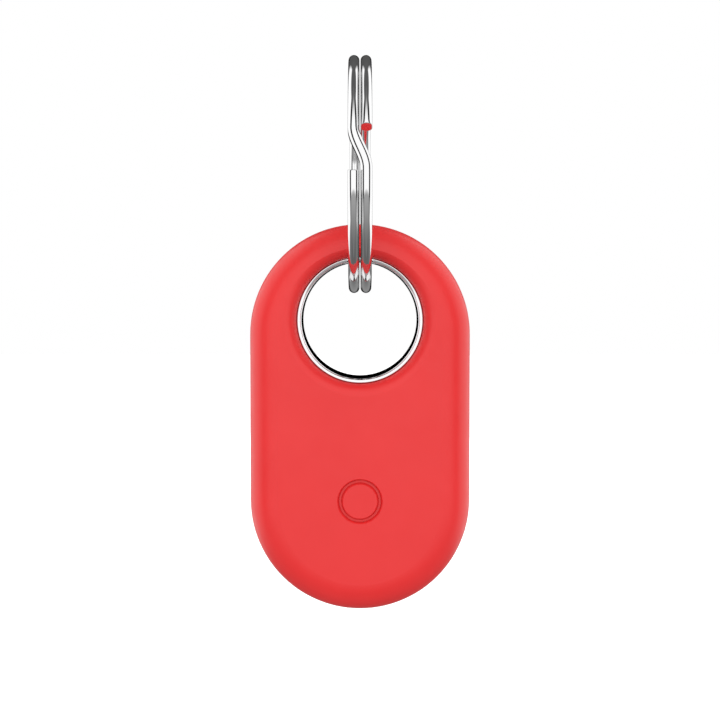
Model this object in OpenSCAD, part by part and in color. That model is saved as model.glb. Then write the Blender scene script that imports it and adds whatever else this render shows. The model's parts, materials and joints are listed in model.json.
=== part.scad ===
// Bluetooth tracker tag on a split ring: a pill-shaped two-shell body with a metal
// eyelet, a press button on the front and a coin-cell door on the back.
//
// Frame, in millimetres: +X right, +Y from the front face to the back face, +Z up.
// The origin is the highest point of the split ring's inside, where a hook holds it.

/* [Body] */
// Width of the body
body_w = 30; // [29.8:0.1:31]
// Height of the body
body_h = 52.75; // [52.5:0.25:56]
// Thickness of the body, front face to back face
body_t = 8.2; // [8.2:0.1:8.6]
// Wall thickness of both shells
wall = 1; // [0.9:0.05:1]

/* [Eyelet] */
// Diameter of the eyelet's bore
bore_d = 15.5; // [15:0.1:15.8]
// Thickness of the eyelet's tube, whose lips are fully rounded
eyelet_wall = 0.74; // [0.7:0.02:0.78]
// Length of the eyelet's tube, lip to lip
eyelet_len = 5.55; // [5.2:0.05:5.8]
// Drop from the body's top edge to the centre of the bore
bore_drop = 12.98; // [12.9:0.02:13.2]
// Radius of the rounded edge where each face runs down to the eyelet
flare_r = 1.7; // [1.5:0.1:1.8]

/* [Split ring] */
// Outer diameter of the split ring
ring_d = 32; // [30:0.5:34]
// Width of the flat wire, along the ring's axis
wire_w = 1.45; // [1.3:0.05:1.6]
// Thickness of the flat wire, along the ring's radius
wire_t = 2.4; // [2:0.1:2.6]
// Gap between the two turns
turn_gap = 0.13; // [0.08:0.01:0.2]
// How far the ring's lowest point lies below the body's top edge
ring_dip = 9.36; // [9:0.1:9.8]

/* [Button] */
// Diameter of the button's cap
button_d = 4.68; // [4.4:0.02:5]
// Width of the groove round the cap
groove_w = 0.66; // [0.5:0.02:0.7]
// Depth of the groove round the cap
groove_deep = 0.42; // [0.4:0.01:0.45]
// Height of the button's centre above the body's bottom edge
button_rise = 15.5; // [15:0.1:16]
// Travel of the button
button_travel = 0.25; // [0.2:0.01:0.25]

/* [Battery door] */
// Diameter of the door's visible disc
door_d = 21.6; // [21.5:0.1:21.7]
// Turn that frees the door's lugs
door_turn = 45; // [40:1:50]

/* [Hidden] */

$fn = 96;
eps = 0.01;
slip = 0.05;      // running clearance on a radius
snug = 0.02;      // clearance between two pieces that stay put
beyond = 1;       // how far a cut runs on past a surface
over = 0.1;       // how far a chamfered cut starts above a surface
far = 60;         // larger than any dimension of the body

// Split ring
ring_r = ring_d / 2;
ring_in = ring_r - wire_t;
ring_z = -ring_in;
wire_r = ring_r - wire_t / 2;
pitch = wire_w + turn_gap;
end_a = 19.8;     // angle of the upper cut end, above the ring's front
end_b = 718.6;    // angle of the lower cut end, two turns further on
cross_a = 359.5;  // angle where the wire starts to change turn
cross_b = 379;    // angle where it has changed turn
cross_more = 0.15; // how far the crossover runs on into either turn

// Body
end_r = body_w / 2;
body_top = ring_z - ring_r + ring_dip;
body_bottom = body_top - body_h;
high_z = body_top - end_r;
low_z = body_bottom + end_r;
back_y = body_t / 2;
front_y = -back_y;
inner_y = back_y - wall;
seam_w = 0.2;
seam_deep = 0.12;
gasket_w = 0.5;
gasket_in = 0.25; // outer skin left outside the gasket

// Eyelet
bore_z = body_top - bore_drop;
bore_r = bore_d / 2;
tube_r = bore_r + eyelet_wall;
collar_r = tube_r + 0.81;
collar_t = 1;
boss_r = tube_r + 1.31;
flare_y = back_y - flare_r;
bridge_w = 9;

// Button and its switch
button_z = body_bottom + button_rise;
cap_r = button_d / 2;
groove_r = cap_r + groove_w;
flange_r = groove_r + 0.4;
flange_y = front_y + groove_deep;
flange_t = 0.3;
groove_draft = 0.2; // how far either side of the groove slopes in towards its floor
edge_cut = 0.07;  // chamfer on the edges round the button
stem_r = 1;
switch_w = 3.4;
switch_h = 3;
cover_t = 0.15;
plunger_r = 0.6;
dome_r = 1.05;

// Circuit board, with its rear face towards the cell
board_y = -1.2;
board_t = 0.8;
board_front = board_y - board_t;
board_inset = 2;
board_top = bore_z - 5;
post_x = 11;
post_z = bore_z - 10.5;
post_r = 0.5;
post_tip = 0.3;
shoulder_r = 1.1;
rib_x = 9;
rib_z = low_z - 6;
rib_r = 0.8;
pad_t = 0.05;     // height of plated copper above the board

// Heights of the switch
switch_top = board_front - 0.7;
plunger_y = switch_top - 0.28;

// Coin cell of the standard 20 x 3.2 size
cell_r = 10;
cell_t = 3.2;
cell_y0 = board_y + 0.35;
cell_y1 = cell_y0 + cell_t;
can_t = 0.25;
crimp_w = 0.6;
crimp_y = cell_y0 + 0.3;
cap_side_r = cell_r - 1.15;
cap_depth = 1.85;

// Battery frame
frame_in = cell_r + 0.3;
frame_out = frame_in + 1;
window_w = 4.4;
leaf_w = 2.8;
leaf_t = 0.2;
foot_t = 0.15;
foot_len = 1.8;

// Door
door_r = door_d / 2;
door_flange = 0.5;
rim_cut = 0.12;   // chamfer on the door's rim and on the edge round it
plug_r = door_r - 0.55;
plug_y = cell_y1 + 0.1;
ledge_top = back_y - 0.75;
lug_r = door_r - slip;
lug_top = inner_y - slip;
lug_span = 26;
notch_span = 31;
lug_count = 3;
coin_w = 1.8;
coin_len = 13;
coin_deep = 0.7;
pocket_r = 9;
pocket_deep = 0.45;

// Marks for turning the door, cut into the door and the rear shell
mark_deep = 0.15;
dot_r = 0.45;
dot_line = 0.22;
dot_rise = 12.4;  // from the door's centre to the marks on the shell
index_rise = 9.5; // from the door's centre to the door's own mark
arrow_r = 8;      // middle line of the arrow
arrow_w = 0.35;
arrow_head = 1.3;
arrow_from = 150;
arrow_to = 112;
arrow_tip = 9;    // angle that the arrow's head covers

// Piezo sounder
piezo_r = 5;
piezo_z = bore_z - boss_r - piezo_r - 0.4;
ceramic_r = 3.5;
glue_w = 0.9;
glue_y = -inner_y + 0.05;
plate_y = glue_y + 0.15;
ceramic_y = plate_y + 0.15;

RED = "#ec4545";
CHROME = "#c9cccf";
STEEL = "#b8b8b4";
BOARD_GREEN = "#1f6b3a";
BLACK = "#1c1c1e";
GOLD = "#d6b04c";
RUBBER = "#3a3a3c";

// ---------- shared geometry ----------

// A flat sketch in X and Z, made solid from y0 to y1
module slab(y0, y1) {
    translate([0, y1, 0])
        rotate([90, 0, 0])
            linear_extrude(y1 - y0)
                children();
}

// A profile in radius and Y, turned about the Y direction at x and z
module turned(z, x = 0) {
    translate([x, 0, z])
        rotate([-90, 0, 0])
            rotate_extrude()
                children();
}

// A rectangle from radius r0 to r1 and from y0 to y1, for turned()
module band(r0, r1, y0, y1) {
    translate([r0, y0])
        square([r1 - r0, y1 - y0]);
}

// A disc's profile from y0 to y1, for turned(): its edge at y0 is cut back by cut, or
// flared out where cut is negative, and it widens by draft towards y1
module disc_profile(r, y0, y1, cut, draft = 0) {
    polygon([
        [0, y0],
        [r - cut, y0],
        [r, y0 + sign(y1 - y0) * abs(cut)],
        [r + draft, y1],
        [0, y1]
    ]);
}

// A sketch of a pie slice, span degrees wide, about the direction middle
module wedge(middle, span) {
    rotate(middle)
        polygon([
            [0, 0],
            [far * cos(span / 2), -far * sin(span / 2)],
            [far * cos(span / 2), far * sin(span / 2)]
        ]);
}

// A flat pill whose ends have radius r
module pill_sketch(r) {
    translate([0, low_z])
        circle(r);
    translate([0, high_z])
        circle(r);
    translate([-r, low_z])
        square([2 * r, high_z - low_z]);
}

// The strip between two flat pills, from radius r0 out to r1
module pill_strip(r0, r1) {
    difference() {
        pill_sketch(r1);
        pill_sketch(r0);
    }
}

// Half of the body's cross-section, with its fully rounded edge
module edge_profile(inset) {
    e = back_y - inset;
    flat = end_r - inset - e;
    band(0, flat, -e, e);
    translate([flat, 0])
        circle(e);
}

// The body's outer shape, shrunk by inset on every side
module body_solid(inset) {
    e = back_y - inset;
    flat = end_r - inset - e;
    translate([0, 0, low_z])
        rotate([-90, 0, 0])
            rotate_extrude(angle = 180)
                edge_profile(inset);
    translate([0, 0, high_z])
        mirror([0, 0, 1])
            rotate([-90, 0, 0])
                rotate_extrude(angle = 180)
                    edge_profile(inset);
    translate([0, 0, low_z])
        linear_extrude(high_z - low_z) {
            translate([-flat, -e])
                square([2 * flat, 2 * e]);
            for (side = [-1, 1])
                translate([side * flat, 0])
                    circle(e);
        }
}

// The half space in front of the seam
module front_half() {
    translate([-far, -far, -2 * far])
        cube([2 * far, far, 3 * far]);
}

// What is cut from either shell so that its face runs down to the eyelet
module flare_cut() {
    turned(bore_z)
        difference() {
            band(0, tube_r + flare_r, front_y - beyond, -flare_y);
            translate([tube_r + flare_r, -flare_y])
                circle(flare_r);
        }
}

// The wall round the eyelet, and the bridge above it
module boss_sketch() {
    translate([0, bore_z])
        circle(boss_r);
    translate([-bridge_w / 2, bore_z])
        square([bridge_w, bore_drop]);
}

// The half of the shell in front of the seam, without its own openings
module plain_shell() {
    difference() {
        union() {
            difference() {
                intersection() {
                    body_solid(0);
                    front_half();
                }
                body_solid(wall);
            }
            intersection() {
                body_solid(wall / 2);
                slab(front_y, 0)
                    boss_sketch();
            }
        }
        flare_cut();
        turned(bore_z) {
            band(0, tube_r + snug, front_y, beyond);
            band(0, collar_r + snug, -collar_t / 2, beyond);
        }
        slab(-gasket_w / 2, beyond)
            pill_strip(end_r - gasket_in - gasket_w, end_r - gasket_in);
        slab(-seam_w / 2, beyond)
            pill_strip(end_r - seam_deep, end_r + beyond);
    }
}

// ---------- split ring ----------

// The wire's outline: its thickness along the first axis, its width along the second
module wire_sketch() {
    straight = wire_t - wire_w;
    square([straight, wire_w], center = true);
    for (side = [-1, 1])
        translate([side * straight / 2, 0])
            circle(wire_w / 2);
}

// The ring's own frame at angle a above its front: the first axis points outwards,
// the second along the wire and the third to the left
module at_angle(a) {
    translate([0, 0, ring_z])
        rotate([90, 0, -90])
            rotate([0, 0, a])
                children();
}

// A round stretch of the wire at place x on the ring's axis
module wire_arc(x, from, to) {
    at_angle(from)
        rotate_extrude(angle = to - from)
            translate([wire_r, -x])
                wire_sketch();
}

// The straight stretch where the wire changes from the right turn to the left one
module wire_crossover() {
    half = (cross_b - cross_a) / 2;
    chord = 2 * wire_r * sin(half);
    reach = norm([chord, pitch]) / 2 + cross_more;
    at_angle(cross_a + half)
        translate([wire_r * cos(half), 0, 0])
            rotate([atan2(pitch, chord), 0, 0])
                slab(-reach, reach)
                    wire_sketch();
}

module split_ring() {
    color(CHROME)
        union() {
            wire_arc(pitch / 2, end_a, cross_a);
            wire_crossover();
            wire_arc(-pitch / 2, cross_b, end_b);
        }
}

// ---------- shells and eyelet ----------

module front_shell() {
    seat_y = -inner_y - wall / 4;
    color(RED)
        union() {
            difference() {
                plain_shell();
                turned(button_z) {
                    disc_profile(groove_r, front_y - over, flange_y, -edge_cut - over, -groove_draft);
                    band(0, flange_r + slip, flange_y - snug, 0);
                }
            }
            for (side = [-1, 1]) {
                turned(post_z, side * post_x) {
                    band(0, shoulder_r, seat_y, board_front);
                    band(0, post_r, seat_y, board_y + post_tip);
                }
                turned(rib_z, side * rib_x)
                    band(0, rib_r, seat_y, board_front);
            }
        }
}

module rear_shell() {
    color(RED)
        union() {
            difference() {
                mirror([0, 1, 0])
                    plain_shell();
                turned(low_z) {
                    band(0, plug_r + slip, 0, back_y + beyond);
                    disc_profile(door_r + slip, back_y + over, ledge_top, -rim_cut - over);
                }
                slab(0, ledge_top)
                    lug_sectors(door_r, notch_span, -door_turn);
                slab(back_y - mark_deep, back_y + beyond)
                    shell_marks();
            }
            turned(low_z)
                band(frame_out - 0.3, frame_out, cell_y1, inner_y + wall / 4);
        }
}

module shell_gasket() {
    color(RUBBER)
        slab(-gasket_w / 2, gasket_w / 2)
            pill_strip(end_r - gasket_in - gasket_w, end_r - gasket_in);
}

module eyelet() {
    lip_r = eyelet_wall / 2;
    lip_y = eyelet_len / 2 - lip_r;
    color(CHROME)
        turned(bore_z) {
            band(bore_r, tube_r, -lip_y, lip_y);
            band(tube_r - eps, collar_r, -collar_t / 2, collar_t / 2);
            for (y = [-lip_y, lip_y])
                translate([bore_r + lip_r, y])
                    circle(lip_r);
        }
}

// ---------- button and switch ----------

module button_pad() {
    color(RED)
        turned(button_z) {
            disc_profile(cap_r, front_y, flange_y + eps, edge_cut, groove_draft);
            band(0, flange_r, flange_y, flange_y + flange_t);
            band(0, stem_r, flange_y + flange_t / 2, plunger_y);
        }
}

module switch_plunger() {
    color("#2b2b2e")
        turned(button_z)
            band(0, plunger_r, plunger_y, switch_top + cover_t + slip);
}

module switch_sketch() {
    translate([-switch_w / 2, button_z - switch_h / 2])
        square([switch_w, switch_h]);
}

module switch_base() {
    floor_t = 0.08;
    color(BLACK)
        difference() {
            slab(switch_top + cover_t, board_front)
                switch_sketch();
            turned(button_z)
                band(0, dome_r + slip, switch_top, board_front - floor_t);
        }
}

module switch_cover() {
    color(STEEL)
        difference() {
            slab(switch_top, switch_top + cover_t)
                switch_sketch();
            turned(button_z)
                band(0, plunger_r + slip, switch_top - beyond, 0);
        }
}

module switch_dome() {
    dome_y = board_front - 0.15;
    color(GOLD)
        turned(button_z)
            band(0, dome_r, dome_y, dome_y + 0.05);
}

// ---------- circuit board and what is on it ----------

module main_board() {
    color(BOARD_GREEN)
        slab(board_front, board_y)
            difference() {
                intersection() {
                    pill_sketch(end_r - board_inset);
                    translate([-far / 2, board_top - far])
                        square([far, far]);
                }
                translate([0, bore_z])
                    circle(boss_r + 0.2);
                for (side = [-1, 1])
                    translate([side * post_x, post_z])
                        circle(post_r + slip);
            }
}

// A component on the board's rear face: its centre is x to the right of the cell's
// centre and up above it, and it is w wide, h high and t deep
module on_board(x, up, w, h, t) {
    slab(board_y, board_y + t)
        translate([x - w / 2, low_z + up - h / 2])
            square([w, h]);
}

module radio_chip() {
    chip_t = 0.85;
    corner_mark_r = 0.25;
    color(BLACK)
        difference() {
            on_board(8.6, 11.3, 4, 4, chip_t);
            turned(low_z + 12.8, 7.1)
                band(0, corner_mark_r, board_y + chip_t - slip, board_y + beyond);
        }
}

module motion_sensor() {
    color("#2d2d30")
        on_board(-8.6, 11.6, 2.5, 2, 0.9);
}

module fast_crystal() {
    color(STEEL)
        on_board(4.3, 13.2, 2, 1.6, 0.5);
}

module slow_crystal() {
    color(STEEL)
        on_board(-5, 13.2, 3.2, 1.5, 0.8);
}

module capacitors() {
    color("#b9946a") {
        for (i = [0 : 3])
            on_board(-1.8 + i * 1.2, 13.2, 0.6, 1, 0.5);
        for (side = [-1, 1])
            on_board(side * 12, 8.2, 1, 0.6, 0.5);
    }
}

module resistors() {
    color("#232326")
        for (i = [0 : 2])
            on_board(-10.8 + i * 1.2, 9.4, 0.6, 1, 0.35);
}

module inductors() {
    color("#6f7378")
        for (x = [11.6, -11.3])
            on_board(x, 11.4, 1.2, 1.6, 0.8);
}

// A meander of copper on the lower end of the board's front face
module antenna_trace() {
    turns = 6;
    step = 1.1;
    track = 0.4;
    leg = 2.6;
    top = low_z - 8.8;
    left = -turns * step / 2 - track / 2;
    color("#c47a3d")
        slab(board_front - pad_t, board_front) {
            for (i = [0 : turns])
                translate([left + i * step, top - leg])
                    square([track, leg]);
            for (i = [0 : turns - 1])
                translate([left + i * step, i % 2 == 0 ? top - track : top - leg])
                    square([step + track, track]);
        }
}

module test_pads() {
    pad_r = 0.45;
    color(GOLD)
        for (x = [-12, -10.6, 10.6, 12])
            turned(low_z + 17, x)
                band(0, pad_r, board_y, board_y + pad_t);
}

// ---------- sounder ----------

module piezo_adhesive() {
    color("#d9d9cf")
        turned(piezo_z)
            band(piezo_r - glue_w, piezo_r, -inner_y, glue_y);
}

module piezo_plate() {
    color(GOLD)
        turned(piezo_z)
            band(0, piezo_r, glue_y, plate_y);
}

module piezo_ceramic() {
    color("#e6e2d6")
        turned(piezo_z)
            band(0, ceramic_r, plate_y, ceramic_y);
}

// Spring pins from the board to the ceramic and to the plate's rim
module piezo_contacts() {
    pin_r = 0.4;
    color(GOLD) {
        turned(piezo_z, ceramic_r * 0.4)
            band(0, pin_r, ceramic_y, board_front);
        turned(piezo_z, (ceramic_r + piezo_r) / 2)
            band(0, pin_r, plate_y, board_front);
    }
}

// ---------- cell, its frame and contacts ----------

module insulator_film() {
    film_t = 0.1;
    color("#c98b2b")
        difference() {
            turned(low_z)
                band(3, cell_r - 0.2, board_y, board_y + film_t);
            slab(board_y - beyond, board_y + beyond)
                translate([-window_w / 2, low_z])
                    square([window_w, cell_r]);
        }
}

module battery_frame() {
    color("#e8e8e6")
        difference() {
            turned(low_z)
                band(frame_in, frame_out, board_y, cell_y1);
            slab(board_y - beyond, cell_y1 + beyond)
                translate([-window_w / 2, low_z - frame_out - beyond])
                    square([window_w, frame_in / 4]);
        }
}

// A leaf that stands on the board in the frame's window and presses on the cell's side
module positive_contact() {
    leaf_z = low_z - cell_r - 0.5;
    leaf_top = cell_y1 - 0.5;
    color(GOLD) {
        translate([-leaf_w / 2, board_y, leaf_z - foot_len])
            cube([leaf_w, foot_t, foot_len + leaf_t]);
        translate([-leaf_w / 2, board_y, leaf_z])
            cube([leaf_w, leaf_top - board_y, leaf_t]);
        translate([0, (cell_y0 + cell_y1) / 2, leaf_z + leaf_t - eps])
            cylinder(h = 0.28, r = 0.6);
    }
}

// A strip from the board's upper part to the button that the cell lies on
module negative_contact() {
    strip_w = 3.6;
    color(GOLD) {
        slab(board_y, board_y + 0.1)
            translate([-strip_w / 2, low_z])
                square([strip_w, 8]);
        turned(low_z)
            band(0, strip_w / 2, board_y, cell_y0);
    }
}

module cell_can() {
    color(STEEL)
        turned(low_z) {
            band(0, cell_r, cell_y1 - can_t, cell_y1);
            band(cell_r - can_t, cell_r, crimp_y, cell_y1);
            band(cell_r - crimp_w, cell_r, crimp_y, crimp_y + can_t);
        }
}

module cell_cap() {
    color("#c8c8c4")
        turned(low_z) {
            band(0, cap_side_r, cell_y0, cell_y0 + can_t);
            band(cap_side_r - can_t, cap_side_r, cell_y0, cell_y0 + cap_depth);
        }
}

module cell_seal() {
    color("#2f2f31")
        turned(low_z) {
            band(cap_side_r, cell_r - crimp_w, cell_y0 + can_t, cell_y0 + cap_depth);
            band(cell_r - crimp_w, cell_r - can_t, crimp_y + can_t, cell_y0 + cap_depth);
        }
}

module cell_core() {
    color("#55565a")
        turned(low_z) {
            band(0, cap_side_r - can_t, cell_y0 + can_t, cell_y0 + cap_depth);
            band(0, cell_r - can_t, cell_y0 + cap_depth, cell_y1 - can_t);
        }
}

// ---------- battery door ----------

// Sketch of the bayonet's sectors, span degrees wide and turned by start
module lug_sectors(r, span, start) {
    translate([0, low_z])
        for (i = [0 : lug_count - 1])
            intersection() {
                circle(r);
                wedge(90 + start + i * 360 / lug_count, span);
            }
}

// Sketch of the shell's marks: a ring where the door is open, a dot where it is shut
module shell_marks() {
    translate([0, low_z]) {
        rotate(90 - door_turn)
            translate([dot_rise, 0])
                difference() {
                    circle(dot_r);
                    circle(dot_r - dot_line);
                }
        translate([0, dot_rise])
            circle(dot_r);
    }
}

// Sketch of the door's marks: its index dot and the arrow that points to open
module door_marks() {
    translate([0, low_z]) {
        translate([0, index_rise])
            circle(dot_r);
        intersection() {
            difference() {
                circle(arrow_r + arrow_w / 2);
                circle(arrow_r - arrow_w / 2);
            }
            wedge((arrow_from + arrow_to) / 2, arrow_from - arrow_to);
        }
        polygon([
            (arrow_r - arrow_head / 2) * [cos(arrow_to), sin(arrow_to)],
            arrow_r * [cos(arrow_to - arrow_tip), sin(arrow_to - arrow_tip)],
            (arrow_r + arrow_head / 2) * [cos(arrow_to), sin(arrow_to)]
        ]);
    }
}

// Sketch of the slot that a coin turns
module coin_slot() {
    straight = coin_len - coin_w;
    translate([0, low_z]) {
        square([straight, coin_w], center = true);
        for (side = [-1, 1])
            translate([side * straight / 2, 0])
                circle(coin_w / 2);
    }
}

module battery_door() {
    color(RED)
        difference() {
            union() {
                turned(low_z) {
                    disc_profile(door_r, back_y, back_y - door_flange, rim_cut);
                    band(0, plug_r, plug_y, back_y - door_flange + eps);
                }
                slab(plug_y, lug_top)
                    lug_sectors(lug_r, lug_span, 0);
            }
            turned(low_z)
                band(0, pocket_r, plug_y - beyond, plug_y + pocket_deep);
            slab(back_y - coin_deep, back_y + beyond)
                coin_slot();
            slab(back_y - mark_deep, back_y + beyond)
                door_marks();
        }
}

module door_seal() {
    color(RUBBER)
        turned(low_z)
            band(plug_r, door_r - slip, ledge_top + snug, back_y - door_flange);
}

split_ring();
front_shell();
rear_shell();
shell_gasket();
eyelet();
button_pad();
switch_plunger();
switch_base();
switch_cover();
switch_dome();
main_board();
radio_chip();
motion_sensor();
fast_crystal();
slow_crystal();
capacitors();
resistors();
inductors();
antenna_trace();
test_pads();
piezo_plate();
piezo_ceramic();
piezo_adhesive();
piezo_contacts();
insulator_film();
battery_frame();
positive_contact();
negative_contact();
cell_can();
cell_cap();
cell_seal();
cell_core();
battery_door();
door_seal();
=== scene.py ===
"""Looks of the tracker tag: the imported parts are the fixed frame, with fine metal pieces and
procedural finishes on top. Everything is in metres, +Z up, with the front face towards -Y."""

import json
import math

import bmesh
import bpy
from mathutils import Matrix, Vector


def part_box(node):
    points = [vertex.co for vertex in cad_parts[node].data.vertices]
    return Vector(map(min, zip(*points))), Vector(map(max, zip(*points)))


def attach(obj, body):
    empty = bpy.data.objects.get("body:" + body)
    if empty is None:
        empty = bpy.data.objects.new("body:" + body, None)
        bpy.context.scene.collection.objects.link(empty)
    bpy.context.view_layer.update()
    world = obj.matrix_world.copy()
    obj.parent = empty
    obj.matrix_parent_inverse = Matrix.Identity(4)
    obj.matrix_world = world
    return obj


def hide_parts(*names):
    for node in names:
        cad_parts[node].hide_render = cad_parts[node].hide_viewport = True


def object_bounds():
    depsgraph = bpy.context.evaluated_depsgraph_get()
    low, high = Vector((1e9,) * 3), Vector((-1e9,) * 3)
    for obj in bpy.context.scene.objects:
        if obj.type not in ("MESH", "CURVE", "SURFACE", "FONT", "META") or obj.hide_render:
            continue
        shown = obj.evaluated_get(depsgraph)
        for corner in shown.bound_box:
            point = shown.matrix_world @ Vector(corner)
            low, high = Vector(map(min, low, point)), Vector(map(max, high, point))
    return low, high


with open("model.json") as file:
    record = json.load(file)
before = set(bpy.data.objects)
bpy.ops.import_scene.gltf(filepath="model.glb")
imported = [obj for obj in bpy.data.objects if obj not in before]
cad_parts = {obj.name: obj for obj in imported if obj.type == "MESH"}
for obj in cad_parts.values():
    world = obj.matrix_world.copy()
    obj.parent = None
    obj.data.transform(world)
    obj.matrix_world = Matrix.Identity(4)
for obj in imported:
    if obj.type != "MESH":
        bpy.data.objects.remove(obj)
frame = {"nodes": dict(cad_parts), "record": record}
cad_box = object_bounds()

MM = 0.001
SHARP_ANGLE = math.radians(40)
nodes = frame["nodes"]
scene = bpy.context.scene


# ---------- meshes ----------

def add_piece(name, mesh, material, body, stands_for):
    """Puts a finished mesh in the scene as a piece that stands for one CAD node."""
    piece = bpy.data.objects.new(name, mesh)
    scene.collection.objects.link(piece)
    mesh.materials.append(material)
    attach(piece, body)
    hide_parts(stands_for)
    return piece


def skin(name, rings, closed):
    """A smooth mesh through rings of points. Its ends are capped unless it is closed."""
    bm = bmesh.new()
    rows = [[bm.verts.new(p) for p in ring] for ring in rings]
    count = len(rows[0])
    pairs = list(zip(rows, rows[1:]))
    if closed:
        pairs.append((rows[-1], rows[0]))
    for a, b in pairs:
        for j in range(count):
            k = (j + 1) % count
            bm.faces.new((a[j], a[k], b[k], b[j]))
    if not closed:
        bm.faces.new(rows[0][::-1])
        bm.faces.new(rows[-1])
    bmesh.ops.recalc_face_normals(bm, faces=bm.faces)
    mesh = bpy.data.meshes.new(name)
    bm.to_mesh(mesh)
    bm.free()
    mesh.shade_smooth()
    mesh.set_sharp_from_angle(angle=SHARP_ANGLE)
    return mesh


# The split ring's wire: two turns joined by a crossover near the front. Angles are degrees along
# the wire, from the front of the first turn.
WIRE_T = 2.4 * MM  # across the wire along the ring's radius
WIRE_W = 1.45 * MM  # across the wire along the ring's axis
END_UPPER = 19.8
END_LOWER = 718.6
CROSS_FROM = 359.5
CROSS_TO = 379.0
WIRE_EDGE = 0.12 * MM  # rounding of the edge of a cut end
END_SHRINKS = (1.6, 1.05)  # the flat end's inner rings, as shares of that rounding
EDGE_STEPS = 5
WIRE_STEP = 1.25
WIRE_ARC = 18
AIM = 0.3  # degrees ahead and behind that give the wire's direction


def smooth_step(t):
    """Rises smoothly from 0 at t = 0 to 1 at t = 1, and is flat beyond."""
    t = min(1.0, max(0.0, t))
    return t * t * (3 - 2 * t)


def wire_outline(shrink):
    """The wire's outline as offsets across its width and along the ring's radius."""
    r = WIRE_W / 2 - shrink
    straight = (WIRE_T - WIRE_W) / 2
    points = []
    for side in (1, -1):
        for i in range(WIRE_ARC + 1):
            a = math.pi * i / WIRE_ARC
            points.append((side * r * math.cos(a), side * (straight + r * math.sin(a))))
    return points


def build_split_ring(material):
    """The wire swept along its two turns, with a smooth crossover and rounded cut ends."""
    lo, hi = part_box("split_ring")
    radius = (hi[1] - lo[1]) / 2 - WIRE_T / 2
    centre_z = hi[2] - (hi[1] - lo[1]) / 2
    pitch = hi[0] - lo[0] - WIRE_W

    def point(angle):
        a = math.radians(angle)
        turned = smooth_step((angle - CROSS_FROM) / (CROSS_TO - CROSS_FROM))
        height = centre_z + radius * math.sin(a)
        return Vector((pitch * (0.5 - turned), -radius * math.cos(a), height))

    def section(angle, shrink):
        a = math.radians(angle)
        along = (point(angle + AIM) - point(angle - AIM)).normalized()
        outward = Vector((0, -math.cos(a), math.sin(a)))
        across = along.cross(outward)
        return [point(angle) + across * u + outward * v for u, v in wire_outline(shrink)]

    # The edge of each cut end is rounded: (setback, shrink) from the flat end inwards
    rounding = [(0.0, WIRE_EDGE * share) for share in END_SHRINKS]
    for i in range(EDGE_STEPS + 1):
        t = math.pi / 2 * i / EDGE_STEPS
        rounding.append((WIRE_EDGE * (1 - math.cos(t)), WIRE_EDGE * (1 - math.sin(t))))
    per_metre = math.degrees(1 / radius)
    start = [(END_UPPER + back * per_metre, shrink) for back, shrink in rounding]
    end = [(END_LOWER - back * per_metre, shrink) for back, shrink in reversed(rounding)]
    first, last = start[-1][0], end[0][0]
    steps = round((last - first) / WIRE_STEP)
    middle = [(first + (last - first) * i / steps, 0.0) for i in range(1, steps)]
    rings = [section(angle, shrink) for angle, shrink in start + middle + end]
    return add_piece("split_ring_wire", skin("split_ring_wire", rings, False), material,
                     "ring", "split_ring")


# The eyelet: a tube with rounded lips, and the collar that both shells clamp
EYELET_WALL = 0.74 * MM
EYELET_COLLAR = 0.81 * MM
COLLAR_T = 1.0 * MM
LIP_OUTER = 0.16 * MM
# Inner side of a lip, crest to bore: (degrees from the crest, radius of curvature)
LIP_BENDS = [
    (0, 11, 0.06 * MM),
    (11, 24, 1.15 * MM),
    (24, 42, 0.05 * MM),
    (42, 87, 0.55 * MM),
]
LIP_ARC = 20
EYELET_STEPS = 288


def build_eyelet(material):
    """The tube and collar turned round the bore, with lips of several bends."""
    lo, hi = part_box("eyelet")
    centre_z = (lo[2] + hi[2]) / 2
    tube_r = (hi[0] - lo[0]) / 2 - EYELET_COLLAR
    quarter = [math.pi / 2 * i / LIP_ARC for i in range(LIP_ARC + 1)]

    # From the crest down into the bore, one short chord after another
    inner = [(tube_r - LIP_OUTER, hi[1])]
    for start, end, bend in LIP_BENDS:
        for i in range(LIP_ARC):
            turn = math.radians(end - start) / LIP_ARC
            facing = math.radians(start) + turn * (i + 0.5)
            r, y = inner[-1]
            inner.append((r - bend * turn * math.cos(facing), y - bend * turn * math.sin(facing)))
    # The wall then draws in very slightly to the bore's exact radius, inside the collar
    inner.append((tube_r - EYELET_WALL, COLLAR_T / 2))
    outer = [(tube_r - LIP_OUTER * (1 - math.sin(a)), hi[1] - LIP_OUTER * (1 - math.cos(a)))
             for a in quarter[1:]]
    front_lip = inner[::-1] + outer

    collar = [
        (tube_r, COLLAR_T / 2),
        (tube_r + EYELET_COLLAR, COLLAR_T / 2),
        (tube_r + EYELET_COLLAR, -COLLAR_T / 2),
        (tube_r, -COLLAR_T / 2),
    ]
    profile = front_lip + collar + [(r, -y) for r, y in front_lip[::-1]]
    rings = []
    for i in range(EYELET_STEPS):
        a = 2 * math.pi * i / EYELET_STEPS
        rings.append([
            Vector((r * math.cos(a), y, centre_z + r * math.sin(a))) for r, y in profile
        ])
    return add_piece("eyelet_tube", skin("eyelet_tube", rings, True), material,
                     "tag", "eyelet")


# ---------- finishes ----------

# Colour sockets of a Mix node: its two inputs and its output
MIX_A, MIX_B, MIX_OUT = 6, 7, 2
BLEND = (0.3, 0.7)  # the span of a noise value over which one colour turns into another

# How many features to the metre the finishes' noises have
TONE_SCALE = 110
GLOSS_SCALE = 420
SWELL_SCALE = 260
PLATING_SCALE = 180


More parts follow.
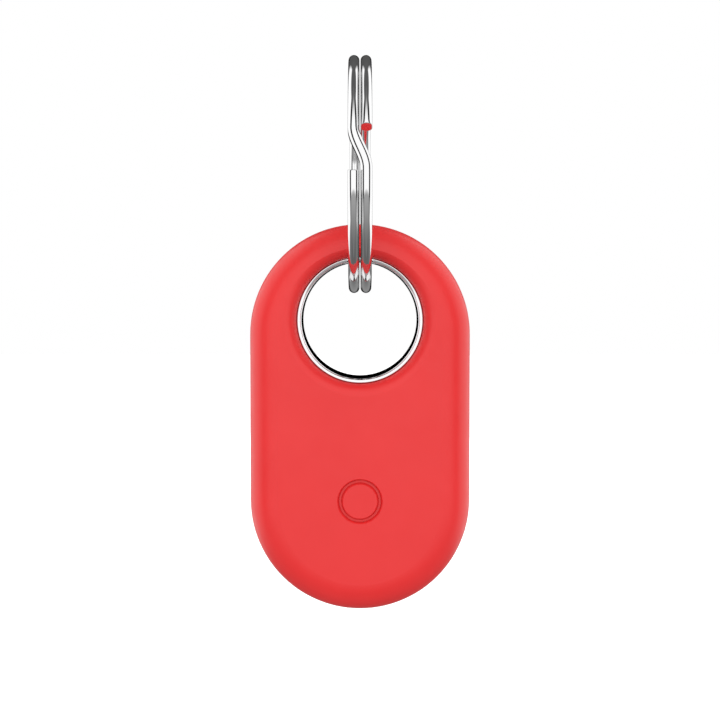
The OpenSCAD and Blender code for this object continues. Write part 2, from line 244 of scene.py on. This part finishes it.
class Finish:
    """One material's node tree, with short ways to add what varies over the surface."""

    def __init__(self, name, **constants):
        self.material = bpy.data.materials.new(name)
        self.material.use_nodes = True
        self.tree = self.material.node_tree
        self.shader = self.tree.nodes["Principled BSDF"]
        self.place = self.tree.nodes.new("ShaderNodeTexCoord").outputs["Object"]
        for socket, value in constants.items():
            self.shader.inputs[socket.replace("_", " ")].default_value = value

    def add(self, kind, **settings):
        node = self.tree.nodes.new(kind)
        for key, value in settings.items():
            setattr(node, key, value)
        return node

    def join(self, output, socket):
        self.tree.links.new(output, socket)

    def noise(self, scale, detail=3.0, squeeze=None):
        """Noise with about scale features to the metre, times squeeze along each axis."""
        node = self.add("ShaderNodeTexNoise")
        node.inputs["Scale"].default_value = scale
        node.inputs["Detail"].default_value = detail
        vector = self.place
        if squeeze:
            mapping = self.add("ShaderNodeMapping")
            mapping.inputs["Scale"].default_value = squeeze
            self.join(self.place, mapping.inputs["Vector"])
            vector = mapping.outputs["Vector"]
        self.join(vector, node.inputs["Vector"])
        return node.outputs["Fac"]

    def ramp(self, value, stops):
        """Colours by value: stops are (position, linear RGB)."""
        node = self.add("ShaderNodeValToRGB")
        band = node.color_ramp
        while len(band.elements) < len(stops):
            band.elements.new(0.5)
        for element, (position, colour) in zip(band.elements, stops):
            element.position = position
            element.color = (*colour, 1.0)
        self.join(value, node.inputs["Fac"])
        return node.outputs["Color"]

    def tones(self, value, dark, light):
        """Two colours that turn into each other as a noise rises."""
        return self.ramp(value, list(zip(BLEND, (dark, light))))

    def spread(self, value, low, high, start=BLEND[0], stop=BLEND[1]):
        """A value between start and stop, mapped to low and high."""
        node = self.add("ShaderNodeMapRange")
        limits = {"From Min": start, "From Max": stop, "To Min": low, "To Max": high}
        for socket, number in limits.items():
            node.inputs[socket].default_value = number
        self.join(value, node.inputs["Value"])
        return node.outputs["Result"]

    def colour(self, output):
        self.join(output, self.shader.inputs["Base Color"])

    def rough(self, output):
        self.join(output, self.shader.inputs["Roughness"])

    def bump(self, *layers):
        """Raises the surface by each (height output, depth in metres) in turn."""
        normal = None
        for height, depth in layers:
            node = self.add("ShaderNodeBump")
            node.inputs["Distance"].default_value = depth
            self.join(height, node.inputs["Height"])
            if normal:
                self.join(normal, node.inputs["Normal"])
            normal = node.outputs["Normal"]
        self.join(normal, self.shader.inputs["Normal"])


# How open a spot is where the shade painted into a groove's colour is full and where it ends, and
# the colour of that painted shade
SHADE_FULL = 0.25
SHADE_ENDS = 0.9
SHADE = (0.5, 0.6, 0.6)
SHADE_SAMPLES = 8
SWELL_DEPTH = 0.004 * MM
GRAIN_DEPTH = 0.003 * MM


def moulded(name, light, dark, rough, grain=9000, crease=0.0, **constants):
    """Moulded plastic or rubber: slow tone shifts, a fine spark-eroded grain, a faint swell.
    Grooves and joints narrower than crease are darker: shade painted into the base colour from
    ambient occlusion."""
    f = Finish(name, **constants)
    tone = f.tones(f.noise(TONE_SCALE, 2), dark, light)
    if crease:
        # Painted shade: ambient occlusion darkens the base colour in grooves, joints and beside
        # other parts
        hollow = f.add("ShaderNodeAmbientOcclusion", samples=SHADE_SAMPLES)
        hollow.inputs["Distance"].default_value = crease
        shade = f.ramp(hollow.outputs["AO"], [(SHADE_FULL, SHADE), (SHADE_ENDS, (1, 1, 1))])
        multiply = f.add("ShaderNodeMix", data_type="RGBA", blend_type="MULTIPLY")
        multiply.inputs["Factor"].default_value = 1
        f.join(tone, multiply.inputs[MIX_A])
        f.join(shade, multiply.inputs[MIX_B])
        tone = multiply.outputs[MIX_OUT]
    f.colour(tone)
    f.rough(f.spread(f.noise(GLOSS_SCALE, 4), *rough))
    f.bump((f.noise(SWELL_SCALE, 1), SWELL_DEPTH), (f.noise(grain, 3), GRAIN_DEPTH))
    return f.material


def metal(name, light, dark, rough, lines=(1, 1, 1), line_scale=3000, line_depth=0.0004 * MM):
    """Metal: slightly uneven plating, and fine marks that run across the axis lines squeezes."""
    f = Finish(name, Metallic=1.0)
    marks = f.noise(line_scale, 4, lines)
    f.colour(f.tones(f.noise(PLATING_SCALE, 3), dark, light))
    f.rough(f.spread(marks, *rough))
    f.bump((marks, line_depth))
    return f.material


TRACK_SCALE = 520
TRACK_HEIGHT = 0.02 * MM
WEAVE_SCALE = 900
WEAVE_DEPTH = 0.004 * MM
MASK_DARK = (0.006, 0.085, 0.022)
MASK_LIGHT = (0.015, 0.17, 0.045)


def circuit_board(name):
    """Green solder mask over glass weave, with raised copper tracks laid square."""
    f = Finish(name, Coat_Weight=0.5, Coat_Roughness=0.15)
    tracks = f.add("ShaderNodeTexVoronoi", distance="MANHATTAN", feature="DISTANCE_TO_EDGE")
    tracks.inputs["Scale"].default_value = TRACK_SCALE
    f.join(f.place, tracks.inputs["Vector"])
    edge = f.spread(tracks.outputs["Distance"], 1.0, 0.0, 0.03, 0.06)
    weave = f.add("ShaderNodeTexWave", bands_direction="X")
    weave.inputs["Scale"].default_value = WEAVE_SCALE
    f.join(f.place, weave.inputs["Vector"])
    f.colour(f.ramp(edge, [(0.2, MASK_DARK), (0.8, MASK_LIGHT)]))
    f.rough(f.spread(f.noise(WEAVE_SCALE, 3), 0.32, 0.45))
    f.bump((weave.outputs["Fac"], WEAVE_DEPTH), (edge, TRACK_HEIGHT))
    return f.material


def speckled(name, ground, speck, rough, scale):
    """A filled resin or ceramic: a ground colour with fine grains of another."""
    f = Finish(name)
    grains = f.add("ShaderNodeTexVoronoi")
    grains.inputs["Scale"].default_value = scale
    f.join(f.place, grains.inputs["Vector"])
    f.colour(f.ramp(grains.outputs["Distance"], [(0.12, speck), (0.35, ground)]))
    f.rough(f.spread(f.noise(scale / 3, 3), *rough))
    f.bump((grains.outputs["Distance"], GRAIN_DEPTH))
    return f.material


# How far the painted shade in the red parts' grooves and joints reaches
RED_CREASE = 0.5 * MM
POLISH = {"line_scale": 1500, "line_depth": 0.0001 * MM}

# Each of the record's slots: its kind, its two colours, its roughness, and what else it needs
FINISHES = {
    "shell_red": (moulded, (0.86, 0.026, 0.027), (0.83, 0.023, 0.024), (0.34, 0.42),
                  {"crease": RED_CREASE}),
    "button_red": (moulded, (0.86, 0.027, 0.028), (0.83, 0.024, 0.025), (0.37, 0.45),
                   {"grain": 12000, "crease": RED_CREASE}),
    "ring_steel": (metal, (0.83, 0.83, 0.83), (0.79, 0.79, 0.795), (0.03, 0.07), POLISH),
    "eyelet_chrome": (metal, (0.84, 0.84, 0.845), (0.80, 0.80, 0.81), (0.02, 0.05), POLISH),
    "seal_rubber": (moulded, (0.035, 0.035, 0.037), (0.025, 0.025, 0.027), (0.75, 0.85), {}),
    "black_plastic": (moulded, (0.014, 0.014, 0.015), (0.010, 0.010, 0.011), (0.45, 0.6), {}),
    "frame_white": (moulded, (0.80, 0.80, 0.78), (0.74, 0.74, 0.72), (0.45, 0.55), {}),
    "adhesive_clear": (moulded, (0.70, 0.69, 0.62), (0.62, 0.61, 0.54), (0.3, 0.45),
                       {"Transmission_Weight": 0.5}),
    "film_amber": (moulded, (0.62, 0.27, 0.035), (0.56, 0.23, 0.028), (0.22, 0.32),
                   {"Transmission_Weight": 0.4}),
    "stamped_steel": (metal, (0.58, 0.58, 0.56), (0.52, 0.52, 0.50), (0.22, 0.38),
                      {"lines": (1, 1, 12)}),
    "cell_steel": (metal, (0.66, 0.66, 0.64), (0.60, 0.60, 0.58), (0.18, 0.34),
                   {"lines": (14, 1, 1)}),
    "gold_plate": (metal, (0.95, 0.68, 0.26), (0.89, 0.61, 0.21), (0.16, 0.28), {}),
    "bare_copper": (metal, (0.85, 0.42, 0.25), (0.76, 0.35, 0.20), (0.25, 0.42), {}),
    "piezo_brass": (metal, (0.82, 0.62, 0.30), (0.75, 0.55, 0.25), (0.2, 0.36),
                    {"lines": (1, 1, 10)}),
    "spring_bronze": (metal, (0.80, 0.58, 0.34), (0.72, 0.50, 0.28), (0.2, 0.34),
                      {"lines": (10, 1, 1)}),
    "chip_epoxy": (speckled, (0.012, 0.012, 0.013), (0.03, 0.03, 0.032), (0.5, 0.65),
                   {"scale": 9000}),
    "capacitor_ceramic": (speckled, (0.42, 0.27, 0.15), (0.34, 0.21, 0.11), (0.4, 0.55),
                          {"scale": 7000}),
    "resistor_black": (speckled, (0.015, 0.015, 0.017), (0.03, 0.03, 0.03), (0.35, 0.5),
                       {"scale": 7000}),
    "ferrite_grey": (speckled, (0.13, 0.135, 0.14), (0.08, 0.085, 0.09), (0.5, 0.7),
                     {"scale": 6000}),
    "piezo_ceramic": (speckled, (0.74, 0.71, 0.62), (0.66, 0.63, 0.54), (0.5, 0.65),
                      {"scale": 5000}),
    "cell_filling": (speckled, (0.035, 0.035, 0.038), (0.06, 0.06, 0.063), (0.7, 0.9),
                     {"scale": 6000}),
}


def make_finishes():
    """A material for each of the record's slots."""
    made = {"board_green": circuit_board("board_green")}
    for name, (kind, first, second, rough, extra) in FINISHES.items():
        made[name] = kind(name, first, second, rough, **extra)
    return made


# ---------- studio ----------

CAMERA_LENS = 59.83
SENSOR = 36
CAMERA_AT = (0, -163.31 * MM, -24.8 * MM)
CAMERA_PITCH = 2.414
CAMERA_SHIFT = -0.072
FLOOR_Z = -160 * MM
FLOOR_SIZE = 3.0
FLOOR_GLOW = 0.5
PAPER_GRAIN = 800
PAPER_DEPTH = 0.02 * MM

# Lamps: where each stands, in metres, and its power in watts
LAMP_SIZE = 0.7
LAMPS = {"key": ((0, -0.6, 0.15), 0.82), "back_fill": ((0.1, 0.6, 0.2), 1.2)}


def build_camera():
    """A camera level with the hanging tag, tipped slightly down at it."""
    data = bpy.data.cameras.new("camera")
    data.lens = CAMERA_LENS
    data.sensor_width = SENSOR
    data.shift_y = CAMERA_SHIFT
    camera = bpy.data.objects.new("camera", data)
    camera.location = CAMERA_AT
    camera.rotation_euler = (math.radians(90 - CAMERA_PITCH), 0, 0)
    scene.collection.objects.link(camera)
    scene.camera = camera


class Studio:
    """The world's node tree: soft boxes and dark flags all round, by direction."""

    def __init__(self):
        world = bpy.data.worlds.new("studio")
        scene.world = world
        world.use_nodes = True
        self.tree = world.node_tree
        self.back = self.tree.nodes["Background"]

    def add(self, kind, *inputs, **settings):
        node = self.tree.nodes.new(kind)
        for key, value in settings.items():
            setattr(node, key, value)
        for socket, value in zip(node.inputs, inputs):
            if isinstance(value, (int, float)):
                socket.default_value = value
            else:
                self.tree.links.new(value, socket)
        return node

    def math(self, operation, *inputs):
        return self.add("ShaderNodeMath", *inputs, operation=operation).outputs[0]

    def band(self, value, stops, low, high, ease=False):
        """Brightness by value: stops are (value, brightness), joined by straight lines or eased."""
        place = self.math("DIVIDE", self.math("SUBTRACT", value, low), high - low)
        node = self.add("ShaderNodeValToRGB", place)
        ramp = node.color_ramp
        if ease:
            ramp.interpolation = "EASE"
        while len(ramp.elements) < len(stops):
            ramp.elements.new(0.5)
        for element, (at, bright) in zip(ramp.elements, stops):
            element.position = (at - low) / (high - low)
            element.color = (bright, bright, bright, 1)
        return node.outputs["Color"]

    def mix(self, factor, a, b):
        """a where factor is 0, b where it is 1."""
        node = self.add("ShaderNodeMix", data_type="RGBA")
        for socket, value in (("Factor", factor), (MIX_A, a), (MIX_B, b)):
            if isinstance(value, tuple):
                node.inputs[socket].default_value = value
            else:
                self.tree.links.new(value, node.inputs[socket])
        return node.outputs[MIX_OUT]

    def by_rise(self, stops, ease=False):
        """Brightness by degrees above the horizon."""
        return self.band(self.rise, stops, -90, 90, ease)

    def by_turn(self, stops):
        """Brightness by degrees away from straight in front, to either side."""
        return self.band(self.aside, stops, 0, 180)


def grey(bright):
    """An opaque grey of one brightness."""
    return (bright, bright, bright, 1)


SOFTBOX = 1.25
FLAG = 0.03
BESIDE = 0.68  # the room's brightness beside the front softbox and behind the object,
BEHIND = 0.7   # as shares of its brightness in front
WASH = 1.6
WASH_SHARE = 0.3

# The front softbox is an oval: half its width and its height above the horizon, in degrees
FRONT_HALF = 50.0
FRONT_TOP = 78.0


def build_world():
    """Room, flags, softboxes and wash, each laid over the one before."""
    s = Studio()
    direction = s.add("ShaderNodeTexCoord").outputs["Generated"]
    x, y, z = s.add("ShaderNodeSeparateXYZ", direction).outputs
    to_degrees = math.degrees(1)
    turned = s.math("ARCTAN2", x, s.math("MULTIPLY", y, -1.0))
    s.aside = s.math("MULTIPLY", s.math("ABSOLUTE", turned), to_degrees)
    s.rise = s.math("MULTIPLY", s.math("ARCSINE", z), to_degrees)

    # Grey room: a floor that darkens downwards, dimmer behind the object, under a dim ceiling
    room = s.by_rise([(-70, 0.21), (-20, 0.42), (-14, 0.15), (30, 0.14), (60, 0.17)], ease=True)
    behind = s.by_turn([(30, 1), (62, BESIDE), (105, BESIDE), (150, BEHIND)])
    light = s.mix(behind, grey(0), room)

    # Black flags beside the front softbox and straight behind the object
    low_edge = s.by_rise([(-20, 0), (-17, 1), (52, 1), (60, 0)])
    beside = s.math("MULTIPLY", low_edge, s.by_turn([(78, 1), (81, 0)]))
    light = s.mix(beside, light, grey(FLAG))
    level = s.by_rise([(-15, 0), (-11, 1), (14, 1), (24, 0)])
    astern = s.math("MULTIPLY", level, s.by_turn([(154, 0), (160, 1)]))
    light = s.mix(astern, light, grey(0))

    # Softboxes at both sides, and the oval one in front, which fades towards its top
    tall = s.by_rise([(-32, 0), (-28, 1), (54, 1), (60, 0)])
    sides = s.math("MULTIPLY", tall, s.by_turn([(77, 0), (80, 1), (146, 1), (154, 0)]))
    light = s.mix(sides, light, grey(SOFTBOX))
    across = s.math("POWER", s.math("DIVIDE", s.aside, FRONT_HALF), 2.0)
    above = s.math("MAXIMUM", s.rise, 0.0)
    up = s.math("POWER", s.math("DIVIDE", above, FRONT_TOP), 2.0)
    inside = s.band(s.math("ADD", across, up), [(0.95, 1), (1.05, 0)], 0, 2)
    front = s.math("MULTIPLY", inside, s.by_rise([(-21, 0), (-16, 1)]))
    fade = s.by_rise([(46, 0.98), (81, 0.13)], ease=True)
    light = s.mix(front, light, s.mix(fade, grey(0), grey(SOFTBOX)))

    # A wash from all sides for matt surfaces, and white paper behind everything
    rays = s.add("ShaderNodeLightPath").outputs
    around = s.band(s.math("ABSOLUTE", y), [(0.5, 1), (0.6, 0)], 0, 1)
    wash = s.math("MULTIPLY", rays["Is Diffuse Ray"], around)
    light = s.mix(s.math("MULTIPLY", wash, WASH_SHARE), light, grey(WASH))
    seen = s.mix(rays["Is Camera Ray"], light, grey(1))
    s.tree.links.new(seen, s.back.inputs["Color"])
    scene.view_settings.view_transform = "Standard"


def build_lamp(name, at, power):
    """A soft panel that faces the object and lights it without showing in the metal."""
    data = bpy.data.lights.new(name, "AREA")
    data.shape = "SQUARE"
    data.size = LAMP_SIZE
    data.energy = power
    lamp = bpy.data.objects.new(name, data)
    lamp.location = at
    middle = (Vector(cad_box[0]) + Vector(cad_box[1])) / 2
    lamp.rotation_euler = (middle - lamp.location).to_track_quat("-Z", "Y").to_euler()
    lamp.visible_glossy = False
    lamp.visible_camera = False
    scene.collection.objects.link(lamp)


def build_floor():
    """A pale sweep under the hanging tag. It catches shadows and stays out of the metal."""
    bm = bmesh.new()
    bmesh.ops.create_grid(bm, x_segments=2, y_segments=2, size=FLOOR_SIZE / 2)
    mesh = bpy.data.meshes.new("floor")
    bm.to_mesh(mesh)
    bm.free()
    floor = bpy.data.objects.new("floor", mesh)
    floor.location = (0, 0, FLOOR_Z)
    scene.collection.objects.link(floor)
    f = Finish("floor_paper", Roughness=1.0, Emission_Strength=FLOOR_GLOW,
               Emission_Color=grey(1))
    f.colour(f.tones(f.noise(6, 2), (0.9, 0.9, 0.9), (0.92, 0.92, 0.92)))
    f.bump((f.noise(PAPER_GRAIN, 3), PAPER_DEPTH))
    mesh.materials.append(f.material)
    for ray in ("glossy", "diffuse", "shadow", "transmission"):
        setattr(floor, "visible_" + ray, False)


# ---------- making ----------

build_camera()
build_world()
for lamp_name, (at, power) in LAMPS.items():
    build_lamp(lamp_name, at, power)
build_floor()

finishes = make_finishes()
for part in frame["record"]["subparts"]:
    mesh = nodes[part["node"]].data
    mesh.materials.clear()
    mesh.materials.append(finishes[part["material_slot"]])

build_split_ring(finishes["ring_steel"])
build_eyelet(finishes["eyelet_chrome"])
